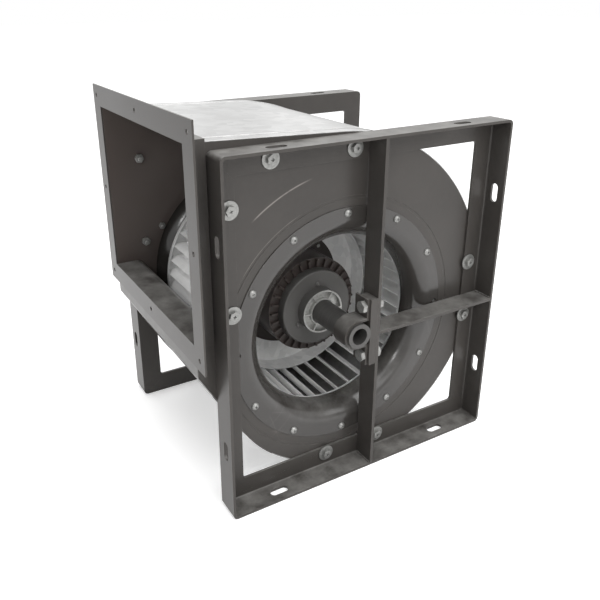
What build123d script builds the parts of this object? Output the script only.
from build123d import *
import os
from math import atan, cos, exp, hypot, pi, radians, sin, tan

# Centrifugal fan, double inlet, with its motor inside the impeller.
# X runs along the side plates with the outlet towards -X, Y is the direction of the shaft, Z is up.
# The origin is on the floor, in the middle of the four slots in the feet. Millimetres and degrees.

# Impeller blades: the inlet rings, the scroll and the side frames follow their size
blade_count = 40
blade_inner_radius = 108
blade_thickness = 0.8
blade_curve_radius = 19
blade_turn = 62
impeller_side_gap = 28.5
centre_plate_thickness = 1.5
centre_band_width = 26
end_ring_thickness = 1.2
end_ring_step = 1
end_ring_lip = 6
end_ring_fit = 0.2

# Scroll of the casing: a spiral about a centre a little off the shaft, with a straight floor and roof
scroll_clearance = 75.6
scroll_shift_x = 3
scroll_shift_z = -4.5
scroll_growth = 0.0806
scroll_arcs = 8
roof_rise = 2.3
floor_slope = 120.5
housing_width = 263
plate_thickness = 1.5
wrapper_thickness = 1
seam_gap = 0.1
bead_setback = 16.5
bead_width = 3
bead_height = 0.8
wrapper_lip = 26

# Side frames: one leg lies on the side plate, the other stands outward
frame_side_gap = 2.5
frame_floor_gap = 2.5
roof_above_frame = 1.9
frame_thickness = 3
frame_leg = 27
frame_reach = 31
frame_outer_corner = 6
frame_bend = 3
frame_inner_corner = 4
slot_length = 23
slot_width = 10
slot_setback = 17
foot_slot_setback = 66
side_slot_setback = 87
side_slot_drop = 3

# Outlet flange and cut-off
neck_length = 20
flange_thickness = 2
flange_bar = 25
flange_leg = 19
flange_hole_radius = 2.75
outlet_floor_rise = 26
cutoff_thickness = 1.2
cutoff_nose_radius = 13
cutoff_gap = 20
cutoff_lean = 2

# Inlet rings
ring_thickness = 1.2
throat_step = 2
flare_radius = 25
throat_length = 3.2
ring_flat = 13
ring_screw_inset = 6.5
ring_screw_positions = 12
ring_trim_width = 5.5
ring_frame_gap = 0.5
groove_gap = 11
groove_width = 3
groove_depth = 0.5
hole_edge_gap = 0.5

# Bars and shaft clamps
bar_thickness = 4
stay_drop = 3
clamp_base_thickness = 9.5
clamp_corner = 10
clamp_seat_depth = 0.5
clamp_bolt_offset = 13
clamp_bolt_setback = 9.5
clamp_end_margin = 10.5
strap_thickness = 3
strap_front_gap = 3
strap_back_gap = 2

# Frame bolts: M6 with wide washers, placed from the top of the frame and from the shaft
frame_bolt_radius = 3
frame_bolt_head_width = 10
frame_bolt_head_height = 4
frame_nut_height = 5
frame_bolt_end = 3
side_bolt_inset = 20.5
top_bolt_inset = 15
foot_bolt_inset = 19
bolt_hole_clearance = 0.25
thread_clearance = 0.05
washer_radius = 10
washer_thickness = 1.6
left_bolt_drop = 60
left_bolt_rise = 51
right_bolt_rises = (43, -30)
top_bolt_shifts = (-97, 5)
foot_bolt_shifts = (-24, 53)

# Ring screws: M5 with round heads
screw_radius = 2.5
screw_head_radius = 4.7
screw_head_height = 3
screw_head_round = 1
screw_nut_width = 8
screw_nut_height = 3.5
screw_end = 2

# Clamp bolts: M8
clamp_bolt_radius = 4
clamp_bolt_head_width = 13
clamp_bolt_head_height = 5.3
clamp_nut_height = 6.5
clamp_bolt_end = 2.5

# Hollow shaft, through which the cable leaves, and its bearings
shaft_radius = 15
shaft_bore_radius = 10
shaft_overhang = 0.5
cable_hole_radius = 4
cable_hole_setback = 12
bearing_radius = 21
bearing_width = 7
bearing_race = 2
bearing_groove = 0.6
running_clearance = 0.05
end_float = 0.3
retainer_height = 2.5
retainer_thickness = 1.2

# Motor: the stator is fixed on the shaft and the rotor turns round it
rotor_core_depth = 10
air_gap = 1
stator_slots = 24
stator_slot_width = 4
stator_slot_depth = 3
winding_shaft_gap = 9
winding_setback = 5
winding_length = 17
winding_near_gap = 10
winding_far_gap = 3
winding_round = 4
rotor_inner_radius = 56
rotor_wall = 5
rotor_near_y = -62
rotor_length = 112
rotor_end_thickness = 5
rotor_lip_thickness = 3
rotor_mouth_step = 2
rotor_flange_width = 16
rotor_flange_thickness = 4
rotor_flange_near_y = -2
rotor_fit = 0.2
impeller_screw_count = 8
rotor_fins = 30
rotor_fin_height = 4
rotor_fin_thickness = 2.5
rotor_fin_margin = 1.5
boss_height = 7
hub_radius = 28
hub_height = 13
hub_rim = 2.5
hub_collar = 2
hub_recess_depth = 5
bearing_web = 3
hub_ribs = 6
hub_rib_thickness = 2
hub_flange_width = 8
hub_flange_thickness = 4
shaft_hole_clearance = 0.5
hub_fit = 0.2
cover_setback = 7.5
cover_height = 13
cover_wall = 3
cover_round = 2
cover_screw_count = 3
cover_screw_radius = 2
cover_screw_head_radius = 3.5
cover_screw_head_height = 2.4

os.makedirs("parts", exist_ok=True)

# Radii of the impeller and of the inlet rings
blade_outer_curve = blade_curve_radius + blade_thickness / 2
blade_tip_x = blade_inner_radius + blade_outer_curve * sin(radians(blade_turn))
blade_tip_lead = blade_curve_radius - blade_outer_curve * cos(radians(blade_turn))
blade_tip_radius = hypot(blade_tip_x, blade_tip_lead)
impeller_radius = blade_tip_radius + end_ring_fit + end_ring_thickness
throat_radius = blade_inner_radius - throat_step
flare_centre_radius = throat_radius + flare_radius
ring_outer_radius = flare_centre_radius + ring_flat
plate_opening_radius = flare_centre_radius + hole_edge_gap
groove_radius = ring_outer_radius + groove_gap

# The shaft stands as near the outlet side of the frames as the trimmed flange of the inlet ring allows
ring_trim_radius = flare_centre_radius + ring_trim_width
shaft_setback = frame_leg + ring_frame_gap + ring_trim_radius
scroll_radius = impeller_radius + scroll_clearance
frame_width = shaft_setback + scroll_shift_x + scroll_radius + frame_side_gap
shaft_x = shaft_setback - frame_width / 2

# Casing places worked out from the sizes
spiral_lean = atan(scroll_growth)
roof_angle = radians(90 - roof_rise) + spiral_lean
floor_angle = radians(floor_slope - 270) + spiral_lean
lowest_reach = scroll_radius * exp(scroll_growth * (spiral_lean - pi / 2)) * cos(spiral_lean)
scroll_x = shaft_x + scroll_shift_x
scroll_z = lowest_reach + frame_floor_gap
shaft_z = scroll_z - scroll_shift_z
plate_face = housing_width / 2
plate_back = plate_face - plate_thickness
inside_width = 2 * (plate_back - seam_gap)
impeller_reach = plate_back - impeller_side_gap
bead_spacing = housing_width - 2 * bead_setback


def spiral_point(angle, out):
    """Point of the spiral at an angle in radians, moved outward by a distance."""
    reach = scroll_radius * exp(scroll_growth * angle)
    lean = angle - spiral_lean
    x = scroll_x + reach * cos(angle) + out * cos(lean)
    z = scroll_z + reach * sin(angle) + out * sin(lean)
    return (x, z)


def roof_point(x, out):
    """Point of the straight roof at a place x."""
    start = spiral_point(roof_angle, out)
    return (x, start[1] + (start[0] - x) * tan(radians(roof_rise)))


def floor_point(x, out):
    """Point of the straight floor at a place x."""
    start = spiral_point(floor_angle, out)
    return (x, start[1] + (x - start[0]) * tan(radians(floor_slope)))


def scroll_outline(out, end_x):
    """Floor, spiral and roof moved outward by a distance and closed at end_x, as edges."""
    half_arc = (roof_angle - floor_angle) / (2 * scroll_arcs)
    stations = [spiral_point(floor_angle + half_arc * i, out) for i in range(2 * scroll_arcs + 1)]
    with BuildLine() as outline:
        Line(floor_point(end_x, out), stations[0])
        for i in range(0, 2 * scroll_arcs, 2):
            ThreePointArc(stations[i], stations[i + 1], stations[i + 2])
        Line(stations[-1], roof_point(end_x, out))
        Line(roof_point(end_x, out), floor_point(end_x, out))
    return outline.edges()


def wall_plane(y):
    """Plane square to the shaft that faces the near side, with world X and Z as its axes."""
    return Plane(origin=(0, y, 0), x_dir=(1, 0, 0), z_dir=(0, -1, 0))


def shaft_plane(y):
    """The same plane with its origin on the shaft."""
    return Plane(origin=(shaft_x, y, shaft_z), x_dir=(1, 0, 0), z_dir=(0, -1, 0))


def mirrored(piece):
    """The far piece: the near one mirrored about the middle of the fan."""
    with BuildPart() as twin:
        mirror(piece.part, about=Plane.XZ)
    return twin


# Frame, bar and flange places
frame_height = spiral_point(roof_angle, 0)[1] - roof_above_frame
foot_slot_pitch = frame_width - 2 * foot_slot_setback
side_slot_pitch = frame_height - 2 * side_slot_setback
frame_face = plate_face + frame_thickness
frame_rim = plate_face + frame_reach
plate_end_x = -frame_width / 2 - neck_length
bar_x = shaft_x + shaft_radius - clamp_seat_depth + clamp_base_thickness

# Bolt and screw places on the near side, in X and Z
side_bolt_x = frame_width / 2 - side_bolt_inset
top_bolt_z = frame_height - top_bolt_inset
frame_bolt_points = [(-side_bolt_x, frame_height - left_bolt_drop)]
frame_bolt_points += [(-side_bolt_x, shaft_z + left_bolt_rise)]
frame_bolt_points += [(side_bolt_x, shaft_z + rise) for rise in right_bolt_rises]
frame_bolt_points += [(shaft_x + shift, top_bolt_z) for shift in top_bolt_shifts]
frame_bolt_points += [(shaft_x + shift, foot_bolt_inset) for shift in foot_bolt_shifts]
frame_hole_radius = frame_bolt_radius + bolt_hole_clearance
ring_screw_circle = ring_outer_radius - ring_screw_inset
ring_hole_radius = screw_radius + bolt_hole_clearance

# Of the twelve holes in an inlet ring, the two at the height of the shaft stay empty
ring_turns = [radians(360 * i / ring_screw_positions) for i in range(ring_screw_positions)]
ring_hole_points = [(ring_screw_circle * cos(t), ring_screw_circle * sin(t)) for t in ring_turns]
ring_screw_points = [p for p in ring_hole_points if abs(p[1]) > screw_head_radius]

# Side plates of the scroll, with the inlet opening and the pressed groove round it
with BuildPart() as side_plate_near:
    with BuildSketch(wall_plane(-plate_back)):
        make_face(scroll_outline(-seam_gap, plate_end_x))
        with Locations(*frame_bolt_points):
            Circle(frame_hole_radius, mode=Mode.SUBTRACT)
    extrude(amount=plate_thickness)
    with BuildSketch(shaft_plane(-plate_back)):
        Circle(plate_opening_radius)
        with Locations(*ring_hole_points):
            Circle(ring_hole_radius)
    extrude(amount=plate_thickness, mode=Mode.SUBTRACT)
    with BuildSketch(shaft_plane(-plate_face)):
        Circle(groove_radius + groove_width / 2)
        Circle(groove_radius - groove_width / 2, mode=Mode.SUBTRACT)
    extrude(amount=-groove_depth, mode=Mode.SUBTRACT)

side_plate_far = mirrored(side_plate_near)

# Wrapper: the long sheet over the edges of both side plates, with two beads and a lip at the outlet
bead_end_x = plate_end_x + flange_leg + bead_width
bead_root = wrapper_thickness / 2
bead_top = wrapper_thickness + bead_height
with BuildPart() as scroll_wrapper:
    with BuildSketch(wall_plane(plate_face)):
        make_face(scroll_outline(wrapper_thickness, plate_end_x))
        make_face(scroll_outline(0, plate_end_x), mode=Mode.SUBTRACT)
    extrude(amount=housing_width)
    for bead_middle in (-bead_spacing / 2, bead_spacing / 2):
        with BuildSketch(wall_plane(bead_middle + bead_width / 2)):
            make_face(scroll_outline(bead_top, bead_end_x))
            make_face(scroll_outline(bead_root, bead_end_x), mode=Mode.SUBTRACT)
        extrude(amount=bead_width)
    with BuildSketch(wall_plane(inside_width / 2)):
        with Locations(floor_point(plate_end_x + wrapper_thickness, 0)):
            Rectangle(wrapper_thickness, wrapper_lip, align=(Align.MAX, Align.MIN))
    extrude(amount=inside_width)

# Cut-off: the lip at the foot of the outlet, rounded over towards the impeller
outlet_floor_z = shaft_z + outlet_floor_rise
nose_x = shaft_x - impeller_radius - cutoff_gap
nose_top_x = nose_x - cutoff_nose_radius
nose_z = outlet_floor_z - cutoff_nose_radius
lip_back_z = outlet_floor_z - cutoff_thickness
heel_x = nose_x - cutoff_lean
heel_back_x = heel_x - cutoff_thickness
nose_back_x = nose_x - cutoff_thickness
nose_back_radius = cutoff_nose_radius - cutoff_thickness
with BuildPart() as cutoff_plate:
    with BuildSketch(wall_plane(inside_width / 2)):
        with BuildLine():
            Line((plate_end_x, outlet_floor_z), (nose_top_x, outlet_floor_z))
            CenterArc((nose_top_x, nose_z), cutoff_nose_radius, 90, -90)
            Line((nose_x, nose_z), floor_point(heel_x, 0))
            Line(floor_point(heel_x, 0), floor_point(heel_back_x, 0))
            Line(floor_point(heel_back_x, 0), (nose_back_x, nose_z))
            CenterArc((nose_top_x, nose_z), nose_back_radius, 0, 90)
            Line((nose_top_x, lip_back_z), (plate_end_x, lip_back_z))
            Line((plate_end_x, lip_back_z), (plate_end_x, outlet_floor_z))
        make_face()
    extrude(amount=inside_width)

# Outlet flange: a flat frame with legs along the neck and holes at the corners and mid-sides
outlet_roof_z = roof_point(plate_end_x, 0)[1]
outlet_middle_z = (outlet_roof_z + outlet_floor_z) / 2
outlet_height = outlet_roof_z - outlet_floor_z
neck_roof_z = roof_point(plate_end_x, wrapper_thickness)[1] + seam_gap
leg_foot_z = lip_back_z - flange_thickness
leg_height = neck_roof_z - leg_foot_z
leg_spread = 2 * (plate_face + flange_thickness)
hole_reach_y = plate_back + flange_bar / 2
hole_reach_z = (outlet_height + flange_bar) / 2
hole_rows = (outlet_middle_z - hole_reach_z, outlet_middle_z, outlet_middle_z + hole_reach_z)
side_holes = [(y, z) for y in (-hole_reach_y, hole_reach_y) for z in hole_rows]
middle_holes = [(0, hole_rows[0]), (0, hole_rows[-1])]
flange_plane = Plane(origin=(plate_end_x, 0, 0), x_dir=(0, -1, 0), z_dir=(-1, 0, 0))
with BuildPart() as outlet_flange:
    with BuildSketch(flange_plane):
        with Locations((0, outlet_middle_z)):
            Rectangle(2 * (plate_back + flange_bar), outlet_height + 2 * flange_bar)
            Rectangle(2 * plate_back, outlet_height, mode=Mode.SUBTRACT)
        with Locations(*side_holes, *middle_holes):
            Circle(flange_hole_radius, mode=Mode.SUBTRACT)
    extrude(amount=flange_thickness)
    with BuildSketch(flange_plane):
        with Locations((0, leg_foot_z)):
            Rectangle(leg_spread, leg_height + flange_thickness, align=(Align.CENTER, Align.MIN))
            Rectangle(2 * plate_face, leg_height, align=(Align.CENTER, Align.MIN), mode=Mode.SUBTRACT)
            Rectangle(inside_width, flange_thickness, align=(Align.CENTER, Align.MIN))
    extrude(amount=-flange_leg)

# Inlet rings: a flat flange, a round flare and a short straight throat, turned from one section.
# The flange is cut straight where the leg of the frame passes.
ring_section = Plane(origin=(shaft_x, 0, shaft_z), x_dir=(1, 0, 0), z_dir=(0, 0, 1))
shaft_line = Axis((shaft_x, 0, shaft_z), (0, 1, 0))
ring_face_y = -plate_face - ring_thickness
flare_centre_y = ring_face_y + flare_radius
throat_end_y = flare_centre_y + throat_length
throat_outer_radius = throat_radius + ring_thickness
with BuildPart() as inlet_ring_near:
    with BuildSketch(ring_section):
        with BuildLine():
            Line((ring_outer_radius, ring_face_y), (flare_centre_radius, ring_face_y))
            CenterArc((flare_centre_radius, flare_centre_y), flare_radius, 270, -90)
            Line((throat_radius, flare_centre_y), (throat_radius, throat_end_y))
            Line((throat_radius, throat_end_y), (throat_outer_radius, throat_end_y))
            Line((throat_outer_radius, throat_end_y), (throat_outer_radius, flare_centre_y))
            CenterArc((flare_centre_radius, flare_centre_y), flare_radius - ring_thickness, 180, 90)
            Line((flare_centre_radius, -plate_face), (ring_outer_radius, -plate_face))
            Line((ring_outer_radius, -plate_face), (ring_outer_radius, ring_face_y))
        make_face()
    revolve(axis=shaft_line)
    with BuildSketch(shaft_plane(-plate_face)):
        with Locations(*ring_hole_points):
            Circle(ring_hole_radius)
        with Locations((-ring_trim_radius, 0)):
            Rectangle(ring_flat, 2 * ring_outer_radius, align=(Align.MAX, Align.CENTER))
    extrude(amount=ring_thickness, mode=Mode.SUBTRACT)

inlet_ring_far = mirrored(inlet_ring_near)

# Side frame: an angle section all round, with slots in all four outward legs
side_slot_z = frame_height / 2 - side_slot_drop
slot_y = -plate_face - slot_setback
with BuildPart() as side_frame:
    with BuildSketch(wall_plane(-plate_face)):
        with Locations((0, frame_height / 2)):
            RectangleRounded(frame_width, frame_height, frame_outer_corner)
            opening_width = frame_width - 2 * frame_leg
            opening_height = frame_height - 2 * frame_leg
            RectangleRounded(opening_width, opening_height, frame_inner_corner, mode=Mode.SUBTRACT)
        with Locations(*frame_bolt_points):
            Circle(frame_hole_radius, mode=Mode.SUBTRACT)
    extrude(amount=frame_thickness)
    with BuildSketch(wall_plane(-plate_face)):
        with Locations((0, frame_height / 2)):
            RectangleRounded(frame_width, frame_height, frame_outer_corner)
            inner_width = frame_width - 2 * frame_thickness
            inner_height = frame_height - 2 * frame_thickness
            RectangleRounded(inner_width, inner_height, frame_bend, mode=Mode.SUBTRACT)
    extrude(amount=frame_reach)
    with BuildSketch(Plane.XY):
        with Locations((0, slot_y)):
            with GridLocations(foot_slot_pitch, 0, 2, 1):
                SlotOverall(slot_length, slot_width)
    extrude(amount=frame_height, mode=Mode.SUBTRACT)
    with BuildSketch(Plane.YZ.offset(-frame_width / 2)):
        with Locations((slot_y, side_slot_z)):
            with GridLocations(0, side_slot_pitch, 1, 2):
                SlotOverall(slot_length, slot_width, rotation=90)
    extrude(amount=frame_width, mode=Mode.SUBTRACT)


def angle_length(*corners):
    """One length of the side frame, between the mitres at its two ends."""
    with BuildPart() as length:
        add(side_frame.part)
        with BuildSketch(wall_plane(-plate_face)):
            with BuildLine():
                Polyline(*corners, close=True)
            make_face()
        extrude(amount=frame_reach, mode=Mode.INTERSECT)
    return length


# The frame is welded from four lengths of angle, mitred at its corners
half_width = frame_width / 2
low_mitre = (0, half_width)
high_mitre = (0, frame_height - half_width)
foot_left, foot_right = (-half_width, 0), (half_width, 0)
top_left, top_right = (-half_width, frame_height), (half_width, frame_height)
frame_outlet_near = angle_length(foot_left, low_mitre, high_mitre, top_left)
frame_back_near = angle_length(foot_right, low_mitre, high_mitre, top_right)
frame_top_near = angle_length(top_left, high_mitre, top_right)
frame_foot_near = angle_length(foot_left, low_mitre, foot_right)
frame_outlet_far = mirrored(frame_outlet_near)
frame_back_far = mirrored(frame_back_near)
frame_top_far = mirrored(frame_top_near)
frame_foot_far = mirrored(frame_foot_near)

# Upright bar across each inlet, standing on edge between the legs of the frame
strap_radius = shaft_radius + strap_thickness
bar_reach = frame_rim - frame_face
bar_height = frame_height - 2 * frame_thickness
clamp_bolt_y = -frame_rim + clamp_bolt_setback
clamp_bolt_spacing = 2 * (strap_radius + clamp_bolt_offset)
clamp_hole_radius = clamp_bolt_radius + bolt_hole_clearance
with BuildPart() as cross_bar_near:
    with BuildSketch(wall_plane(-frame_face)):
        with Locations((bar_x, frame_thickness)):
            Rectangle(bar_thickness, bar_height, align=(Align.MIN, Align.MIN))
    extrude(amount=bar_reach)
    with BuildSketch(Plane.YZ.offset(bar_x)):
        with Locations((clamp_bolt_y, shaft_z)):
            with GridLocations(0, clamp_bolt_spacing, 1, 2):
                Circle(clamp_hole_radius)
    extrude(amount=bar_thickness, mode=Mode.SUBTRACT)

cross_bar_far = mirrored(cross_bar_near)

# Level bar from the upright bar to the leg of the frame away from the outlet
stay_x = bar_x + bar_thickness
stay_length = frame_width / 2 - frame_thickness - stay_x
with BuildPart() as stay_bar_near:
    with BuildSketch(wall_plane(-frame_face)):
        with Locations((stay_x, shaft_z - stay_drop)):
            Rectangle(stay_length, bar_thickness, align=(Align.MIN, Align.CENTER))
    extrude(amount=bar_reach)

stay_bar_far = mirrored(stay_bar_near)

# Clamp base: a thick block on the upright bar with a shallow seat for the shaft
base_x = bar_x - clamp_base_thickness
clamp_height = clamp_bolt_spacing + 2 * clamp_end_margin
with BuildPart() as clamp_base_near:
    with BuildSketch(Plane.YZ.offset(base_x)):
        with Locations((-frame_rim, shaft_z)):
            Rectangle(bar_reach, clamp_height, align=(Align.MIN, Align.CENTER))
        with Locations((clamp_bolt_y, shaft_z)):
            with GridLocations(0, clamp_bolt_spacing, 1, 2):
                Circle(clamp_hole_radius, mode=Mode.SUBTRACT)
    extrude(amount=clamp_base_thickness)
    back_corners = clamp_base_near.edges().filter_by(Axis.X).group_by(Axis.Y)[-1]
    fillet(back_corners, clamp_corner)
    with BuildSketch(shaft_plane(-frame_face)):
        Circle(shaft_radius)
    extrude(amount=bar_reach, mode=Mode.SUBTRACT)

clamp_base_far = mirrored(clamp_base_near)

# Clamp strap: a strip bent round the shaft, its two ears bolted through the base and the bar
strap_back_y = -frame_face - strap_back_gap
strap_depth = bar_reach - strap_front_gap - strap_back_gap
leg_length = base_x - shaft_x
with BuildPart() as clamp_strap_near:
    with BuildSketch(shaft_plane(strap_back_y)):
        Circle(strap_radius)
        Rectangle(strap_radius, 2 * strap_radius, align=(Align.MIN, Align.CENTER), mode=Mode.SUBTRACT)
        Rectangle(leg_length, 2 * strap_radius, align=(Align.MIN, Align.CENTER))
        with Locations((leg_length, 0)):
            Rectangle(strap_thickness, clamp_height, align=(Align.MAX, Align.CENTER))
        Circle(shaft_radius, mode=Mode.SUBTRACT)
        Rectangle(leg_length, 2 * shaft_radius, align=(Align.MIN, Align.CENTER), mode=Mode.SUBTRACT)
    extrude(amount=strap_depth)
    with BuildSketch(Plane.YZ.offset(base_x)):
        with Locations((clamp_bolt_y, shaft_z)):
            with GridLocations(0, clamp_bolt_spacing, 1, 2):
                Circle(clamp_hole_radius)
    extrude(amount=-strap_thickness, mode=Mode.SUBTRACT)

clamp_strap_far = mirrored(clamp_strap_near)

# Clamp bolts and nuts, two at each end of the shaft, lying along X
bolt_seat_x = base_x - strap_thickness
nut_seat_x = bar_x + bar_thickness
clamp_bolt_length = nut_seat_x + clamp_nut_height + clamp_bolt_end - bolt_seat_x
clamp_bolt_spread = 2 * (frame_rim - clamp_bolt_setback)
with BuildPart() as clamp_bolts:
    with BuildSketch(Plane.YZ.offset(bolt_seat_x)):
        with Locations((0, shaft_z)):
            with GridLocations(clamp_bolt_spread, clamp_bolt_spacing, 2, 2):
                RegularPolygon(clamp_bolt_head_width / 2, 6, major_radius=False)
    extrude(amount=-clamp_bolt_head_height)
    with BuildSketch(Plane.YZ.offset(bolt_seat_x)):
        with Locations((0, shaft_z)):
            with GridLocations(clamp_bolt_spread, clamp_bolt_spacing, 2, 2):
                Circle(clamp_bolt_radius)
    extrude(amount=clamp_bolt_length)

with BuildPart() as clamp_nuts:
    with BuildSketch(Plane.YZ.offset(nut_seat_x)):
        with Locations((0, shaft_z)):
            with GridLocations(clamp_bolt_spread, clamp_bolt_spacing, 2, 2):
                RegularPolygon(clamp_bolt_head_width / 2, 6, major_radius=False)
                Circle(clamp_bolt_radius + thread_clearance, mode=Mode.SUBTRACT)
    extrude(amount=clamp_nut_height)

# Frame bolts with a wide washer under each head and a nut inside the casing
washer_seat_y = -frame_face
bolt_seat_y = washer_seat_y - washer_thickness
frame_bolt_length = frame_nut_height + frame_bolt_end - plate_back - bolt_seat_y
with BuildPart() as frame_washers_near:
    with BuildSketch(wall_plane(washer_seat_y)):
        with Locations(*frame_bolt_points):
            Circle(washer_radius)
            Circle(frame_hole_radius, mode=Mode.SUBTRACT)
    extrude(amount=washer_thickness)

frame_washers_far = mirrored(frame_washers_near)

with BuildPart() as frame_bolts_near:
    with BuildSketch(wall_plane(bolt_seat_y)):
        with Locations(*frame_bolt_points):
            RegularPolygon(frame_bolt_head_width / 2, 6, major_radius=False)
    extrude(amount=frame_bolt_head_height)
    with BuildSketch(wall_plane(bolt_seat_y)):
        with Locations(*frame_bolt_points):
            Circle(frame_bolt_radius)
    extrude(amount=-frame_bolt_length)

frame_bolts_far = mirrored(frame_bolts_near)

with BuildPart() as frame_nuts:
    for nut_seat_y in (-plate_back, plate_back - frame_nut_height):
        with BuildSketch(wall_plane(nut_seat_y)):
            with Locations(*frame_bolt_points):
                RegularPolygon(frame_bolt_head_width / 2, 6, major_radius=False)
                Circle(frame_bolt_radius + thread_clearance, mode=Mode.SUBTRACT)
        extrude(amount=-frame_nut_height)

# Ring screws with round heads on the flange of the inlet ring and nuts inside the casing
ring_screw_length = ring_thickness + plate_thickness + screw_nut_height + screw_end
with BuildPart() as ring_screws_near:
    with BuildSketch(shaft_plane(ring_face_y)):
        with Locations(*ring_screw_points):
            Circle(screw_head_radius)
    extrude(amount=screw_head_height)
    fillet(ring_screws_near.faces().group_by(Axis.Y)[0].edges(), screw_head_round)
    with BuildSketch(shaft_plane(ring_face_y)):
        with Locations(*ring_screw_points):
            Circle(screw_radius)
    extrude(amount=-ring_screw_length)

ring_screws_far = mirrored(ring_screws_near)

with BuildPart() as ring_nuts:
    for nut_seat_y in (-plate_back, plate_back - screw_nut_height):
        with BuildSketch(shaft_plane(nut_seat_y)):
            with Locations(*ring_screw_points):
                RegularPolygon(screw_nut_width / 2, 6, major_radius=False)
                Circle(screw_radius + thread_clearance, mode=Mode.SUBTRACT)
        extrude(amount=-screw_nut_height)

# Places along the shaft, from the near end to the far end
cover_face_y = rotor_near_y - cover_height
hub_front_y = cover_face_y - hub_height
hub_web_y = hub_front_y + hub_recess_depth
near_seat_y = hub_web_y + bearing_web
hub_flange_y = cover_face_y + cover_wall
hub_back_y = hub_flange_y + hub_flange_thickness
near_bearing_y = near_seat_y + end_float
near_retainer_y = near_bearing_y + bearing_width
rotor_far_y = rotor_near_y + rotor_length
boss_face_y = rotor_far_y + boss_height
far_seat_y = boss_face_y - bearing_web
far_bearing_y = far_seat_y - end_float - bearing_width
far_retainer_y = far_bearing_y - retainer_thickness
seat_radius = bearing_radius + running_clearance
shaft_hole_radius = shaft_radius + shaft_hole_clearance

# Hollow shaft, clamped at both ends, with the hole where the cable enters it
shaft_end_y = frame_rim + shaft_overhang
with BuildPart() as shaft_tube:
    with BuildSketch(shaft_plane(shaft_end_y)):
        Circle(shaft_radius)
        Circle(shaft_bore_radius, mode=Mode.SUBTRACT)
    extrude(amount=2 * shaft_end_y)
    with BuildSketch(Plane(origin=(shaft_x, near_retainer_y + cable_hole_setback, shaft_z))):
        Circle(cable_hole_radius)
    extrude(amount=shaft_radius, mode=Mode.SUBTRACT)

# Bearings, with a groove between the races on both faces
with BuildPart() as bearing_near:
    with BuildSketch(shaft_plane(near_bearing_y)):
        Circle(bearing_radius)
        Circle(shaft_radius, mode=Mode.SUBTRACT)
    extrude(amount=-bearing_width)
    for groove_y in (near_bearing_y + bearing_groove, near_bearing_y + bearing_width):
        with BuildSketch(shaft_plane(groove_y)):
            Circle(bearing_radius - bearing_race)
            Circle(shaft_radius + bearing_race, mode=Mode.SUBTRACT)
        extrude(amount=bearing_groove, mode=Mode.SUBTRACT)

with BuildPart() as bearing_far:
    with Locations((0, far_bearing_y - near_bearing_y, 0)):
        add(bearing_near.part)

with BuildPart() as retaining_rings:
    for retainer_y in (near_retainer_y, far_retainer_y):
        with BuildSketch(shaft_plane(retainer_y)):
            Circle(shaft_radius + retainer_height)
            Circle(shaft_radius, mode=Mode.SUBTRACT)
        extrude(amount=-retainer_thickness)

# Stator: slotted core pressed on the shaft, with the winding heads at both ends
stator_near_y = rotor_near_y + winding_near_gap + winding_length
stator_far_y = rotor_far_y - rotor_end_thickness - winding_far_gap - winding_length
stator_length = stator_far_y - stator_near_y
stator_radius = rotor_inner_radius - rotor_core_depth - air_gap
winding_outer_radius = stator_radius - winding_setback
winding_inner_radius = shaft_radius + winding_shaft_gap
slot_circle = stator_radius - stator_slot_depth / 2
with BuildPart() as stator_core:
    with BuildSketch(shaft_plane(stator_near_y)):
        Circle(stator_radius)
        Circle(shaft_radius, mode=Mode.SUBTRACT)
        with PolarLocations(slot_circle, stator_slots):
            Rectangle(stator_slot_depth, stator_slot_width, mode=Mode.SUBTRACT)
    extrude(amount=-stator_length)

with BuildPart() as stator_windings:
    for winding_y in (stator_near_y - winding_length, stator_far_y):
        with BuildSketch(shaft_plane(winding_y)):
            Circle(winding_outer_radius)
            Circle(winding_inner_radius, mode=Mode.SUBTRACT)
        extrude(amount=-winding_length)
    fillet(stator_windings.faces().sort_by(Axis.Y)[0].edges(), winding_round)
    fillet(stator_windings.faces().sort_by(Axis.Y)[-1].edges(), winding_round)

# Rotor bell: a can open at the near end, with a boss for the far bearing
rotor_radius = rotor_inner_radius + rotor_wall
rotor_flange_radius = rotor_radius + rotor_flange_width
cover_radius = rotor_inner_radius - cover_setback
rotor_mouth_radius = cover_radius - rotor_mouth_step
fin_outer_radius = rotor_radius - rotor_fin_margin
fin_inner_radius = cover_radius + rotor_fin_margin
fin_circle = (fin_outer_radius + fin_inner_radius) / 2
fin_length = fin_outer_radius - fin_inner_radius
impeller_screw_circle = rotor_radius + rotor_flange_width / 2
impeller_screw_hole = screw_radius + bolt_hole_clearance
with BuildPart() as rotor_bell:
    with BuildSketch(shaft_plane(rotor_near_y)):
        Circle(rotor_radius)
    extrude(amount=-rotor_length)
    with BuildSketch(shaft_plane(rotor_far_y)):
        Circle(hub_radius)
    extrude(amount=-boss_height)
    with BuildSketch(shaft_plane(rotor_near_y + rotor_lip_thickness)):
        Circle(rotor_inner_radius)
    extrude(amount=-(rotor_length - rotor_lip_thickness - rotor_end_thickness), mode=Mode.SUBTRACT)
    with BuildSketch(shaft_plane(rotor_near_y)):
        Circle(rotor_mouth_radius)
    extrude(amount=-rotor_lip_thickness, mode=Mode.SUBTRACT)
    with BuildSketch(shaft_plane(far_seat_y)):
        Circle(seat_radius)
    extrude(amount=far_seat_y - rotor_far_y + rotor_end_thickness, mode=Mode.SUBTRACT)
    with BuildSketch(shaft_plane(boss_face_y)):
        Circle(shaft_hole_radius)
    extrude(amount=bearing_web, mode=Mode.SUBTRACT)
    with BuildSketch(shaft_plane(rotor_near_y)):
        with PolarLocations(fin_circle, rotor_fins):
            Rectangle(fin_length, rotor_fin_thickness)
    extrude(amount=rotor_fin_height)

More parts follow.
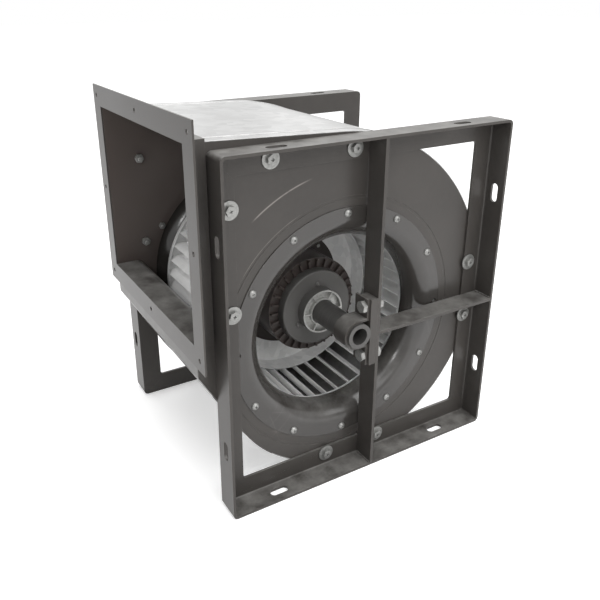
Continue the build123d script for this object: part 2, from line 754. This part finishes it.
# Flange ring round the bell, which carries the impeller
with BuildPart() as rotor_flange:
    with BuildSketch(shaft_plane(rotor_flange_near_y)):
        Circle(rotor_flange_radius)
        Circle(rotor_radius, mode=Mode.SUBTRACT)
        with PolarLocations(impeller_screw_circle, impeller_screw_count):
            Circle(impeller_screw_hole, mode=Mode.SUBTRACT)
    extrude(amount=-rotor_flange_thickness)

# Rotor core: the ring of laminations inside the bell
with BuildPart() as rotor_core:
    with BuildSketch(shaft_plane(stator_near_y)):
        Circle(rotor_inner_radius)
        Circle(stator_radius + air_gap, mode=Mode.SUBTRACT)
    extrude(amount=-stator_length)

# Cover over the near end of the bell, which carries the hub with the near bearing
hub_flange_radius = hub_radius + hub_flange_width
cover_screw_circle = hub_radius + hub_flange_width / 2
cover_screw_hole = cover_screw_radius + bolt_hole_clearance
with BuildPart() as rotor_cover:
    with BuildSketch(shaft_plane(rotor_near_y)):
        Circle(cover_radius)
    extrude(amount=cover_height)
    fillet(rotor_cover.faces().sort_by(Axis.Y)[0].edges(), cover_round)
    with BuildSketch(shaft_plane(rotor_near_y)):
        Circle(cover_radius - cover_wall)
    extrude(amount=cover_height - cover_wall, mode=Mode.SUBTRACT)
    with BuildSketch(shaft_plane(hub_flange_y)):
        Circle(hub_radius + hub_fit)
        with PolarLocations(cover_screw_circle, cover_screw_count, start_angle=90):
            Circle(cover_screw_hole)
    extrude(amount=cover_wall, mode=Mode.SUBTRACT)

with BuildPart() as bearing_hub:
    with BuildSketch(shaft_plane(hub_back_y)):
        Circle(hub_radius)
    extrude(amount=hub_back_y - hub_front_y)
    with BuildSketch(shaft_plane(hub_back_y)):
        Circle(hub_flange_radius)
        with PolarLocations(cover_screw_circle, cover_screw_count, start_angle=90):
            Circle(cover_screw_hole, mode=Mode.SUBTRACT)
    extrude(amount=hub_flange_thickness)
    with BuildSketch(shaft_plane(hub_web_y)):
        recess_outer = hub_radius - hub_rim
        recess_inner = shaft_hole_radius + hub_collar
        Circle(recess_outer)
        Circle(recess_inner, mode=Mode.SUBTRACT)
        with PolarLocations((recess_outer + recess_inner) / 2, hub_ribs):
            Rectangle(recess_outer - shaft_radius, hub_rib_thickness, mode=Mode.SUBTRACT)
    extrude(amount=hub_recess_depth, mode=Mode.SUBTRACT)
    with BuildSketch(shaft_plane(hub_back_y)):
        Circle(seat_radius)
    extrude(amount=hub_back_y - near_seat_y, mode=Mode.SUBTRACT)
    with BuildSketch(shaft_plane(near_seat_y)):
        Circle(shaft_hole_radius)
    extrude(amount=near_seat_y - hub_front_y, mode=Mode.SUBTRACT)

with BuildPart() as cover_screws:
    with BuildSketch(shaft_plane(cover_face_y)):
        with PolarLocations(cover_screw_circle, cover_screw_count, start_angle=90):
            Circle(cover_screw_head_radius)
    extrude(amount=cover_screw_head_height)
    with BuildSketch(shaft_plane(cover_face_y)):
        with PolarLocations(cover_screw_circle, cover_screw_count, start_angle=90):
            Circle(cover_screw_radius)
    extrude(amount=cover_face_y - hub_back_y)

# Centre plate of the impeller, screwed to the flange of the rotor
centre_near_y = rotor_flange_near_y + rotor_flange_thickness
centre_far_y = centre_near_y + centre_plate_thickness
with BuildPart() as centre_plate:
    with BuildSketch(shaft_plane(centre_near_y)):
        Circle(blade_tip_radius)
        Circle(rotor_radius + rotor_fit, mode=Mode.SUBTRACT)
        with PolarLocations(impeller_screw_circle, impeller_screw_count):
            Circle(impeller_screw_hole, mode=Mode.SUBTRACT)
    extrude(amount=-centre_plate_thickness)

with BuildPart() as impeller_screws:
    with BuildSketch(shaft_plane(centre_far_y)):
        with PolarLocations(impeller_screw_circle, impeller_screw_count):
            Circle(screw_head_radius)
    extrude(amount=-screw_head_height)
    with BuildSketch(shaft_plane(centre_far_y)):
        with PolarLocations(impeller_screw_circle, impeller_screw_count):
            Circle(screw_radius)
    extrude(amount=centre_plate_thickness + rotor_flange_thickness)

# Plain bands on both sides of the centre plate, which close the roots of the blades
band_bore = blade_inner_radius - blade_thickness
with BuildPart() as centre_band_near:
    with BuildSketch(shaft_plane(centre_near_y)):
        Circle(blade_inner_radius)
        Circle(band_bore, mode=Mode.SUBTRACT)
    extrude(amount=centre_band_width)

with BuildPart() as centre_band_far:
    with BuildSketch(shaft_plane(centre_far_y)):
        Circle(blade_inner_radius)
        Circle(band_bore, mode=Mode.SUBTRACT)
    extrude(amount=-centre_band_width)

# Forward-curved blades: each starts square to the bore of the impeller and turns with the rotation
blade_inner_curve = blade_curve_radius - blade_thickness / 2
with BuildSketch() as blade_section:
    with BuildLine():
        outer_arc = CenterArc((0, blade_curve_radius), blade_outer_curve, -90, blade_turn)
        inner_arc = CenterArc((0, blade_curve_radius), blade_inner_curve, -90, blade_turn)
        Line(outer_arc @ 0, inner_arc @ 0)
        Line(outer_arc @ 1, inner_arc @ 1)
    make_face()

blade_end_y = impeller_reach - end_ring_thickness
with BuildPart() as blades_near:
    with BuildSketch(shaft_plane(centre_near_y)):
        with PolarLocations(blade_inner_radius, blade_count):
            add(blade_section.sketch)
    extrude(amount=centre_near_y + blade_end_y)

with BuildPart() as blades_far:
    with BuildSketch(shaft_plane(centre_far_y)):
        with PolarLocations(blade_inner_radius, blade_count):
            add(blade_section.sketch)
    extrude(amount=centre_far_y - blade_end_y)

# End rings: a flat ring on the blade ends with a lip over their tips
lip_end_y = impeller_reach - end_ring_lip
with BuildPart() as end_ring_near:
    with BuildSketch(shaft_plane(-blade_end_y)):
        Circle(impeller_radius)
        Circle(blade_inner_radius - end_ring_step, mode=Mode.SUBTRACT)
    extrude(amount=end_ring_thickness)
    with BuildSketch(shaft_plane(-lip_end_y)):
        Circle(impeller_radius)
        Circle(impeller_radius - end_ring_thickness, mode=Mode.SUBTRACT)
    extrude(amount=blade_end_y - lip_end_y)

end_ring_far = mirrored(end_ring_near)

pieces = {
    "side_plate_near": side_plate_near,
    "side_plate_far": side_plate_far,
    "scroll_wrapper": scroll_wrapper,
    "cutoff_plate": cutoff_plate,
    "outlet_flange": outlet_flange,
    "inlet_ring_near": inlet_ring_near,
    "inlet_ring_far": inlet_ring_far,
    "frame_outlet_near": frame_outlet_near,
    "frame_outlet_far": frame_outlet_far,
    "frame_back_near": frame_back_near,
    "frame_back_far": frame_back_far,
    "frame_top_near": frame_top_near,
    "frame_top_far": frame_top_far,
    "frame_foot_near": frame_foot_near,
    "frame_foot_far": frame_foot_far,
    "cross_bar_near": cross_bar_near,
    "cross_bar_far": cross_bar_far,
    "stay_bar_near": stay_bar_near,
    "stay_bar_far": stay_bar_far,
    "clamp_base_near": clamp_base_near,
    "clamp_base_far": clamp_base_far,
    "clamp_strap_near": clamp_strap_near,
    "clamp_strap_far": clamp_strap_far,
    "clamp_bolts": clamp_bolts,
    "clamp_nuts": clamp_nuts,
    "frame_washers_near": frame_washers_near,
    "frame_washers_far": frame_washers_far,
    "frame_bolts_near": frame_bolts_near,
    "frame_bolts_far": frame_bolts_far,
    "frame_nuts": frame_nuts,
    "ring_screws_near": ring_screws_near,
    "ring_screws_far": ring_screws_far,
    "ring_nuts": ring_nuts,
    "shaft_tube": shaft_tube,
    "bearing_near": bearing_near,
    "bearing_far": bearing_far,
    "retaining_rings": retaining_rings,
    "stator_core": stator_core,
    "stator_windings": stator_windings,
    "rotor_bell": rotor_bell,
    "rotor_flange": rotor_flange,
    "rotor_core": rotor_core,
    "rotor_cover": rotor_cover,
    "bearing_hub": bearing_hub,
    "cover_screws": cover_screws,
    "centre_plate": centre_plate,
    "impeller_screws": impeller_screws,
    "centre_band_near": centre_band_near,
    "centre_band_far": centre_band_far,
    "blades_near": blades_near,
    "blades_far": blades_far,
    "end_ring_near": end_ring_near,
    "end_ring_far": end_ring_far,
}
for name, piece in pieces.items():
    piece.part.label = name
    export_step(piece.part, f"parts/{name}.step")
